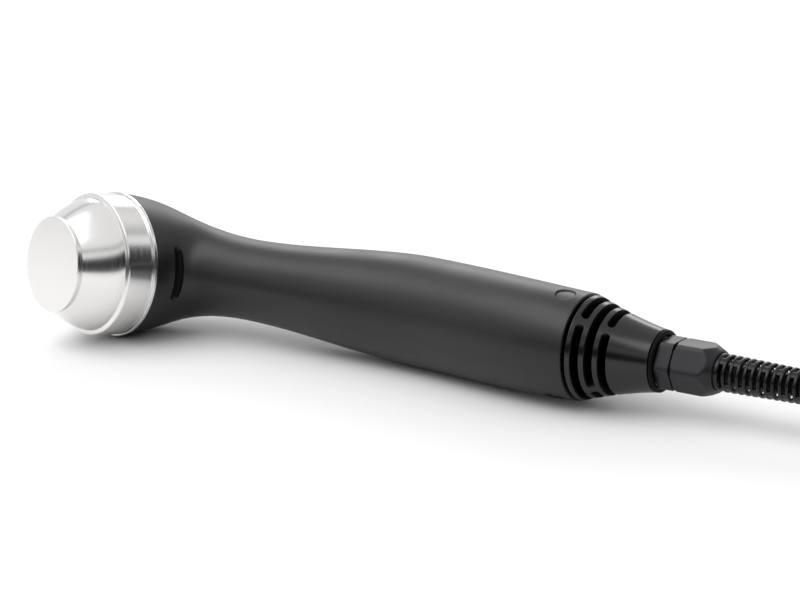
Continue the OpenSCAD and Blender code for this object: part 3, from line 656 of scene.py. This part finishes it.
# %% [markdown]
# ## The recess in the bell
#
# The real bell has a shallow arc-shaped finger mark on the camera's side. A Boolean could cut it,
# but its edge would be hard. Here the skin is pushed in by the depth of a round bar laid along the
# arc, steepened and lifted, so that its bottom is 1.35 mm deep:
#
# depth = 1.3 sqrt(1.5^2 - reach^2) - 0.6, where reach is the distance to the bar's middle line.
#
# The arc runs along t = 0.295 and its ends bend back towards the rim.

# %% Recess
ARC_T, ARC_HOOK, ARC_HALF, BAR_R, BELL_R = 0.295, 0.025, 20.5, 1.5, 23
STEEPEN, LIFT, BLEND = 1.3, 0.6, 0.25
step = np.linalg.norm(np.diff(bell, axis=0), axis=-1)
run = np.vstack([np.zeros(len(angles)), np.cumsum(step, axis=0)])
from_side = np.abs((deg + 90) % 360 - 180)
arc_t = ARC_T - ARC_HOOK * np.minimum((from_side / 20) ** 2, 2)
at_arc = np.array([np.interp(arc_t[j], t_rows, run[:, j]) for j in range(len(angles))])
past_end = np.radians(np.maximum(from_side - ARC_HALF, 0)) * BELL_R
reach = np.hypot(run - at_arc, past_end[None])
recess = np.sqrt(np.maximum(BAR_R**2 - reach**2, 0)) * STEEPEN - LIFT
recess = np.maximum(-smooth_min(-recess, 0 * recess, BLEND), 0)
normal = away(bell)
outwards = bell - bell.mean(axis=1, keepdims=True)
facing = np.sign(np.einsum("ijk,ijk->ij", normal, outwards).mean())
bell = bell - facing * normal * recess[..., None]
print("recess", round(recess.max(), 2), "mm deep")

# %% [markdown]
# ## The snap bosses
#
# The real boot is held by two round bosses that snap into holes of the handle. They show as a disc
# 0.4 mm below the skin with a narrow gap round it. Two depths by the distance from the boss's axis
# are enough, because the rows and columns lie close together there.

# %% Bosses
BOSS_R, HOLE_R, BOSS_SINK, GAP_SINK = 3.0, 3.2, 0.4, 1.1
across = np.hypot(grip[..., 1] - grip_y(grip_x), grip[..., 2])
boss_angle = np.radians(BOSS_TURN)
from_boss = np.minimum(np.abs(grip_a - boss_angle), np.abs(grip_a - np.pi + boss_angle))
off_axis = np.hypot(grip_x + BOSS_X, across * np.sin(np.minimum(from_boss, 1)))
sink = np.where(off_axis < BOSS_R, BOSS_SINK, np.where(off_axis < HOLE_R, GAP_SINK, 0.0))
sink = np.where(from_boss < 0.5, sink, 0.0)
grip = grip - grip_dir(grip_a, grip_flat(grip_x)) * sink[..., None]
print("bosses take", int((sink > 0).sum()), "points")

# %% [markdown]
# ## The whole handle
#
# The moulding has a small round rim where it meets the metal lip, and a small round end where it
# meets the boot. Both are a few rings of points before and behind the two grids, so the handle
# stays one tube. Each vertex of the bell carries a share of painted shade that grows with how deep
# in the recess it lies, up to 0.7 at 1.3 mm, so the recess is darkened by painted shade.

# %% Handle skin
RIM = np.array([[19.3, 0], [23.3, 0], [23.62, 0.03], [23.78, 0.12], [23.84, 0.24]])
END = [[-0.75, 0.03], [-0.65, 0.09], [-0.58, 0.18], [-0.55, 0.3], [-0.55, 2.2]]
SHADE_MOST, SHADE_DEPTH = 0.7, 1.3
along_rim = BACK * (RIM[:, 1, None, None] + HEAD_LEN)
rim_grid = FACE_AT + along_rim + rim_dir(angles)[None] * RIM[:, 0, None, None]
end_grid = np.stack([grip_dir(angles, 1.0) * (TAIL_R - inset) + [x, 0, 0] for x, inset in END])
handle_grid = np.concatenate([rim_grid, bell[2:], grip, end_grid])
deep = np.zeros(handle_grid.shape)
bell_rows = slice(len(RIM), len(RIM) + len(bell) - 2)
# Painted shade in the recess: up to 0.7 of the near-black colour, full at 1.3 mm deep
deep[bell_rows, :, 0] = SHADE_MOST * np.clip(recess[2:] / SHADE_DEPTH, 0, 1)
skin(laid(handle_grid), "handle_skin", ["handle_shell"], HANDLE, deep)

# %% [markdown]
# ## The slotted boot
#
# The real boot is a moulded cap with three rows of long slots that let it give. Cutting them with
# Booleans leaves hard edges and long thin triangles. Here the radius is a table r(x, a) over a
# slightly bent outline. A slot is a long hole with round ends; with d the distance to its edge,
# negative inside,
#
# - d > rho: the outline itself,
# - 0 < d < rho: a quarter circle of radius rho, the rounded edge,
# - d < 0: a steep wall down to the hollow core.
#
# Grid lines crowd together where the edges are.

# %% Boot functions
BOOT_FROM, BOOT_LEN, BOOT_END_R = 0.55, 24.4, 9.4
SLOT_W, SLOT_PITCH, SLOT_FIRST, SLOT_ROWS = 2.4, 3.9, 3.25, 3
BRIDGE_W, BRIDGE_TURN = 2.3, 52


def boot_outline(x):
    """Radius of the boot at x: a quadratic curve, sampled finely and looked up."""
    t = np.linspace(0, 1, 200)
    a, b, c = (TAIL_R - 0.3, BOOT_FROM), (TAIL_R * 0.69, BOOT_LEN * 0.56), (BOOT_END_R, BOOT_LEN)
    r, at = [bend(p, q, s, t) for p, q, s in zip(a, b, c)]
    return np.interp(x, at, r)


def rounded_drop(d, rho, depth, steep=60.0):
    """How far the surface falls at distance d from the edge of a slot: rho minus a quarter circle
    of radius rho outside, then a wall of the given steepness down to the depth."""
    corner = rho - np.sqrt(np.maximum(rho**2 - np.clip(rho - d, 0, rho) ** 2, 0))
    return np.where(d > 0, corner, rho + np.minimum(-d * steep, depth - rho))


row_x = [SLOT_FIRST + i * SLOT_PITCH for i in range(SLOT_ROWS)]
stretches = [(0.56, 0.9, 6), (0.9, 24.0, 60), (24.0, 24.38, 7)]
for x in row_x:
    near, far = x - SLOT_W / 2, x + SLOT_W / 2
    stretches += [(near - 0.3, near + 0.1, 12), (near, far, 15), (far - 0.1, far + 0.3, 12)]
xs = dense(stretches)
bridge_zones = [(b - 13, b + 13, 66) for b in range(BRIDGE_TURN, 360, 90)]
boot_deg = round_the_piece([(0, 360, 181), *bridge_zones])
boot_a = np.radians(boot_deg)
print("boot grid", len(xs), "by", len(boot_deg))

# %% [markdown]
# ## Cutting the rows of slots
#
# Each row has two slots with a bridge between them, and the bridges of the middle row are turned by
# 90 degrees. Every point near a slot also gets its share of painted shade, which darkens the slot's
# walls and floor, from none 0.06 mm outside the edge to all 0.02 mm inside it.

# %% Boot skin
END_EDGE, START_EDGE, START_TO, START_RUN = 0.2, 0.3, 0.9, 0.35
SLOT_EDGE, SLOT_DEEP, SHADE_FROM, SHADE_RUN = 0.18, 6.0, 0.06, 0.08
end_round = np.clip((xs - (BOOT_LEN - END_EDGE)) / END_EDGE, 0, 1)
start_round = np.clip((START_TO - xs) / START_RUN, 0, 1)
base = boot_outline(xs) - END_EDGE * (1 - np.sqrt(1 - end_round**2))
base = base - START_EDGE * (1 - np.sqrt(1 - start_round**2))
radius = np.repeat(base[:, None], len(boot_a), 1)
shade = np.zeros_like(radius)
for i, x0 in enumerate(row_x):
    bridge = BRIDGE_TURN - i % 2 * 90
    r0 = float(boot_outline(x0))
    cut = np.degrees((BRIDGE_W + SLOT_W) / 2 / r0)
    for mid in (bridge + 90, bridge + 270):
        from_mid = np.abs((boot_deg - mid + 180) % 360 - 180)
        past = np.radians(np.maximum(from_mid - (90 - cut), 0)) * r0
        d = np.hypot(past[None, :], (xs - x0)[:, None]) - SLOT_W / 2
        radius = radius - rounded_drop(d, SLOT_EDGE, SLOT_DEEP)
        # Painted shade inside the slot, from the distance to its edge
        shade = np.maximum(shade, np.clip((SHADE_FROM - d) / SHADE_RUN, 0, 1))

# Rings before and behind the table: the bottom of the parting groove, and the flat rear end
LEAD = np.array([[-1.4, 13.8], [-1.3, 14.9], [0.3, 15.0], [0.5, 15.05], [0.55, 15.3]])
REAR = np.array([[BOOT_LEN, BOOT_END_R - 0.3], [BOOT_LEN, 6.2]])
lead_r, rear_r = (np.repeat(part[:, 1:], len(boot_a), 1) for part in (LEAD, REAR))
boot_x = np.concatenate([LEAD[:, 0], xs, REAR[:, 0]])
boot_grid = polar(np.vstack([lead_r, radius, rear_r]), boot_x, boot_a)
# Painted shade: the first four rings, down in the parting groove, get full shade; the last lead ring
# and the rear end get none
shade = np.vstack([np.ones((4, len(boot_a))), 0 * shade[:1], shade, 0 * shade[:2]])
# The share of painted shade rides on X of the turned attribute
painted_shade_share = np.stack([shade, 0 * shade, 0 * shade], axis=-1)
skin(tail(boot_grid), "boot_skin", ["tail_boot"], BOOT, painted_shade_share)

# %% [markdown]
# ## The sealing ring
#
# A soft ring of rubber sits between the boot and the gland. A torus would do. An ellipse turned
# about the axis is chosen, because the real ring is pressed flat.

# %% Seal
SEAL_X, SEAL_MID_R, SEAL_HALF_R, SEAL_HALF_X = 25.05, 8.4, 0.95, 0.65
ring_a = np.linspace(0, 2 * np.pi, 24)
seal_r = SEAL_MID_R + SEAL_HALF_R * np.cos(ring_a)
grid, _ = revolve(np.stack([seal_r, SEAL_X + SEAL_HALF_X * np.sin(ring_a)], axis=1), 128)
skin(tail(grid), "seal_skin", ["gland_seal"], SEAL)

# %% [markdown]
# ## Gland body and nut
#
# The real gland clamps the cable with a nut, and both its hexagons have turned corners. A six-sided
# cylinder cut by a cone could make them, with hard edges. Here a hexagon's radius is
# apothem / cos(angle from the middle of the flat), the turned corners are a second radius r(x), and
# the piece is the smaller of the two, blended over 0.25 mm.

# %% Hexagons
ACROSS_FLATS, HEX_TURN = 14.5, 40
HEX_R, APOTHEM = ACROSS_FLATS / np.sqrt(3), ACROSS_FLATS / 2
corner_zones = [(c - 3, c + 3, 15) for c in range(HEX_TURN, 360, 60)]
hex_deg = round_the_piece([(0, 360, 241), *corner_zones])
hex_a = np.radians(hex_deg)


def hexagon(x, outline):
    """Radii at x of the hexagon cut by the turned outline, given as (x, r) pairs: the smaller of
    apothem / cos(angle) and the outline's r."""
    off_flat = np.radians((hex_deg - HEX_TURN) % 60 - 30)
    flat = APOTHEM / np.cos(off_flat)
    flat = smooth_min(flat, 0 * flat + HEX_R - 0.12, 0.5)
    turned = np.interp(x, *np.asarray(outline, float).T)
    return smooth_min(flat[None, :], turned[:, None], 0.25)


def hex_piece(name, node, outline, close_r):
    """A hexagonal piece with flat ends that close down to radius close_r. Two rings at each end,
    0.15 and 0.04 mm in, make its small edge."""
    x0, x1 = outline[0][0], outline[-1][0]
    x = dense([(x0, x1, 60), (x0, x0 + 1.6, 24), (x1 - 1.2, x1, 16)])
    r = hexagon(x, outline)
    first, last = r[:1], r[-1:]
    cap = np.full((1, len(hex_a)), close_r)
    radii = np.vstack([cap, first - 0.15, first - 0.04, r[1:-1], last - 0.04, last - 0.15, cap])
    at = np.concatenate([[x0, x0, x0 + 0.04], x[1:-1], [x1 - 0.04, x1, x1]])
    skin(tail(polar(radii, at, hex_a)), name, [node], GLAND)


BODY_X, BODY_END, NUT_X = 25.7, 30.4, 30.8
NUT_CONE, NUT_END = NUT_X + 8.6, NUT_X + 12.8
body_ends = [(BODY_X, HEX_R - 0.9), (BODY_X + 0.45, HEX_R), (30.25, HEX_R), (BODY_END, HEX_R - 0.3)]
hex_piece("gland_body_skin", "gland_body", body_ends, 5.9)
nut_ends = [(NUT_X, HEX_R - 0.9), (NUT_X + 0.9, HEX_R), (NUT_CONE, HEX_R), (NUT_END, 6.3)]
hex_piece("gland_nut_skin", "gland_nut", nut_ends, 5.7)
thread, _ = revolve([[5.0, 28.0], [6.0, 28.0], [6.0, 32.0], [5.0, 32.0]], 96)
skin(tail(thread), "gland_thread_skin", (), GLAND)

# %% [markdown]
# ## The bend relief
#
# The real one is a tapered sleeve cut by rows of windows, so that it bends evenly. What is left is
# a stack of round-edged rings with two bridges between each pair, each row of bridges turned by
# 90 degrees against the last, so light shows through here and there. It is built from what is left
# and not cut from a sleeve, because rings and bridges are simple closed grids.

# %% Bend relief
RELIEF_END, WINDOW_X, WINDOW_PITCH, WINDOW_W, WINDOW_ROWS = 98.0, 45.0, 2.2, 1.1, 21
BRIDGE_HALF, BRIDGE_LAP, RING_EDGE = 12, 0.2, 0.5


def relief_r(x):
    """Outer radius of the sleeve: 5.65 at the nut to 4.4 at its end."""
    return np.interp(x, [NUT_END, RELIEF_END], [5.65, 4.4])


def relief_bore(x):
    """Inner radius: 4.2 at the nut to 3.5 at its end."""
    return np.interp(x, [NUT_END, RELIEF_END], [4.2, 3.5])


def relief_ring(x0, x1, cols=72):
    """A ring from x0 to x1, round-edged outside: its four-cornered section, softened and turned."""
    r0, r1, b0, b1 = relief_r(x0), relief_r(x1), relief_bore(x0), relief_bore(x1)
    section = [[b0, x0], [r0, x0], [r1, x1], [b1, x1], [b0, x0]]
    return revolve(soften(section, min(RING_EDGE, 0.45 * (x1 - x0)), 4), cols)[0]


def relief_bridge(x0, x1, middle, points=9):
    """A bridge of 24 degrees across one window row: an arc outside and the same arc back inside."""
    a = np.radians(middle + np.linspace(-BRIDGE_HALF, BRIDGE_HALF, points))
    r = np.repeat([relief_r((x0 + x1) / 2) - 0.12, relief_bore((x0 + x1) / 2)], points)
    return polar(r[None, :], np.array([x0, x1]), np.concatenate([a, a[::-1]]))


last_row_end = WINDOW_X + (WINDOW_ROWS - 1) * WINDOW_PITCH + WINDOW_W
pieces = [relief_ring(NUT_CONE + 0.9, WINDOW_X, 96), relief_ring(last_row_end, RELIEF_END, 96)]
for i in range(WINDOW_ROWS):
    x0 = WINDOW_X + i * WINDOW_PITCH
    quarter = 45 if i % 2 == 0 else -45
    for middle in (quarter, 180 + quarter):
        pieces.append(relief_bridge(x0 - BRIDGE_LAP, x0 + WINDOW_W + BRIDGE_LAP, middle))
    if i < WINDOW_ROWS - 1:
        pieces.append(relief_ring(x0 + WINDOW_W, x0 + WINDOW_PITCH))
skin([tail(p) for p in pieces], "relief_skin", ["bend_relief"], RELIEF)


# %% [markdown]
# ## The cable inside the relief
#
# The cable shows through the windows of the real one. This inner part doesn't move, so it is a
# plain round tube along its route and not part of the cord. Each ring of points stands square to
# the path.


# %% Inner cable
def tube(path, r, cols=24):
    """Grid of a round tube: p + r (u cos a + v sin a), with u, v square to the path."""
    along_path = np.gradient(path, axis=0)
    along_path /= np.linalg.norm(along_path, axis=1, keepdims=True)
    v = np.cross(np.array([0, 0, 1.0]), along_path)
    v /= np.linalg.norm(v, axis=1, keepdims=True)
    u = np.cross(along_path, v)
    a = np.linspace(0, 2 * np.pi, cols, endpoint=False)[None, :, None]
    return path[:, None] + r * (u[:, None] * np.cos(a) + v[:, None] * np.sin(a))


INNER_ROUTE = [[63, 3.5, 17.1], [90, 3.5, 16.3], [120, 3.5, 15.5], [149, 3.5, 14.6]]
skin(tube(spline(INNER_ROUTE, 6), CABLE_D / 2), "cable_inner", (), JACKET)

# %% [markdown]
# ## CAD pieces that show as they are
#
# The strap and the plug lie outside the picture, so they keep their CAD shape, and so do the inner
# pieces, which show only when the part is opened. Each gets a material made from its slot in the
# record, so that a new piece needs no new line here.

# %% Materials for the CAD pieces
record = frame["record"]
slots = {m["slot"]: m for m in record["materials"]}
FINISH = {
    "aluminium": (0.3, 1.0), "brass": (0.3, 1.0), "chrome": (0.18, 1.0), "rubber": (0.5, 0.0),
    "gloss_plastic": (0.25, 0.0), "matte_plastic": (0.5, 0.0), "ceramic": (0.45, 0.0),
}
made = {}
for part in record["subparts"]:
    node = frame["nodes"].get(part["node"])
    if node is None or node.hide_render:
        continue
    slot_name = part["material_slot"]
    if slot_name not in made:
        s = slots[slot_name]
        rough, metal = FINISH.get(s["class"], (0.5, 0.0))
        title = "cad " + slot_name.replace("_", " ")
        made[slot_name] = surface(title, s["base_color"][:3], rough, metal, grain, 3e-6, 0.05)
    node.data.materials.clear()
    node.data.materials.append(made[slot_name])
print("CAD pieces keep", sorted(made))

# %% Cord
print("cord built above")

# %% [markdown]
# ## Table and lights
#
# The table is one plain pale sheet. A long light low behind the head draws the sheen along the
# upper side of the handle. A second one stands high in front and to the left, and brightens the
# face and the cone. Both are area lights and not lamps, because a studio's lights are wide screens
# that make soft shadows.

# %% Stage
FLOOR_HALF = 6
CORNERS = [(-1, -1), (1, -1), (1, 1), (-1, 1)]
floor_mesh = bpy.data.meshes.new("floor")
floor_mesh.from_pydata([(FLOOR_HALF * x, FLOOR_HALF * y, 0) for x, y in CORNERS], [], [(0, 1, 2, 3)])
floor = bpy.data.objects.new("floor", floor_mesh)
bpy.context.scene.collection.objects.link(floor)
floor_mesh.materials.append(surface("table", (0.93, 0.93, 0.93), 0.9))


def softbox(name, at, look, size, power):
    """Rectangular area light at a point, facing another, both in metres: its -Z axis is turned
    onto the line between them."""
    data = bpy.data.lights.new(name, "AREA")
    data.shape = "RECTANGLE"
    data.size, data.size_y = size
    data.energy = power
    obj = bpy.data.objects.new(name, data)
    obj.location = at
    way = Vector(look) - Vector(at)
    obj.rotation_euler = way.to_track_quat("-Z", "Y").to_euler()
    bpy.context.scene.collection.objects.link(obj)


softbox("rim light", (-0.65, 1.3, 0.75), (0, 0, 0.02), (1.3, 0.5), 6.0)
softbox("front light", (-0.52, -0.5, 1.15), (0, 0, 0.03), (1.5, 0.8), 8.5)
print("table", 2 * FLOOR_HALF, "m wide and", len(bpy.data.lights), "lights")

# %% [markdown]
# ## What the metal mirrors
#
# Bright metal shows its surroundings, and in the picture it shows dark streaks between pale ones.
# So the world is a small room and not one grey: pale walls, a grey strip high up all round, and a
# dark band low on the camera's side, whose top is tilted a little. Each border is a smooth step of
# how far a direction points up or towards the camera. The camera itself sees plain white behind the
# table.

# %% World
WALL, STRIP, DARK, WHITE = (0.90, 0.90, 0.91), (0.50, 0.50, 0.51), (0.02, 0.02, 0.022), (1, 1, 1)
UP, TILTED_UP, TO_CAMERA = (0.0, 0.0, 1.0), (-0.15, 0.0, 1.0), (0.537, -0.843, 0.0)
world = bpy.data.worlds.new("backdrop")
bpy.context.scene.world = world
world.use_nodes = True
tree = world.node_tree
backdrop = tree.nodes["Background"]
backdrop.inputs["Strength"].default_value = 1.0
view_way = add(tree, "ShaderNodeTexCoord").outputs["Generated"]


def border(way, none_at, all_at):
    """Smooth step from 0 to 1 between two values of how far a direction points along a way."""
    dot = add(tree, "ShaderNodeVectorMath", operation="DOT_PRODUCT")
    dot.inputs[1].default_value = way
    tree.links.new(view_way, dot.inputs[0])
    node = add(tree, "ShaderNodeMapRange", interpolation_type="SMOOTHSTEP")
    node.inputs["From Min"].default_value = none_at
    node.inputs["From Max"].default_value = all_at
    wire(tree, (dot, "Value", node, "Value"))
    return node.outputs["Result"]


def times(a, b):
    """Product of two node outputs."""
    node = add(tree, "ShaderNodeMath", operation="MULTIPLY")
    tree.links.new(a, node.inputs[0])
    tree.links.new(b, node.inputs[1])
    return node.outputs["Value"]


def blend(factor, a, b):
    """(1 - factor) a + factor b. a is a colour or a node's output, b is a colour."""
    node = add(tree, "ShaderNodeMix", data_type="RGBA")
    node.inputs["B"].default_value = (*b, 1)
    if isinstance(a, tuple):
        node.inputs["A"].default_value = (*a, 1)
    else:
        tree.links.new(a, node.inputs["A"])
    tree.links.new(factor, node.inputs["Factor"])
    return node.outputs["Result"]


in_strip = times(border(UP, 0.55, 0.60), border(UP, 0.70, 0.65))
in_dark = times(border(TO_CAMERA, -0.08, 0.12), border(TILTED_UP, 0.39, 0.26))
room = blend(in_dark, blend(in_strip, WALL, STRIP), DARK)
by_camera = add(tree, "ShaderNodeLightPath").outputs["Is Camera Ray"]
tree.links.new(blend(by_camera, room, WHITE), backdrop.inputs["Color"])
print("world has", len(tree.nodes), "nodes")
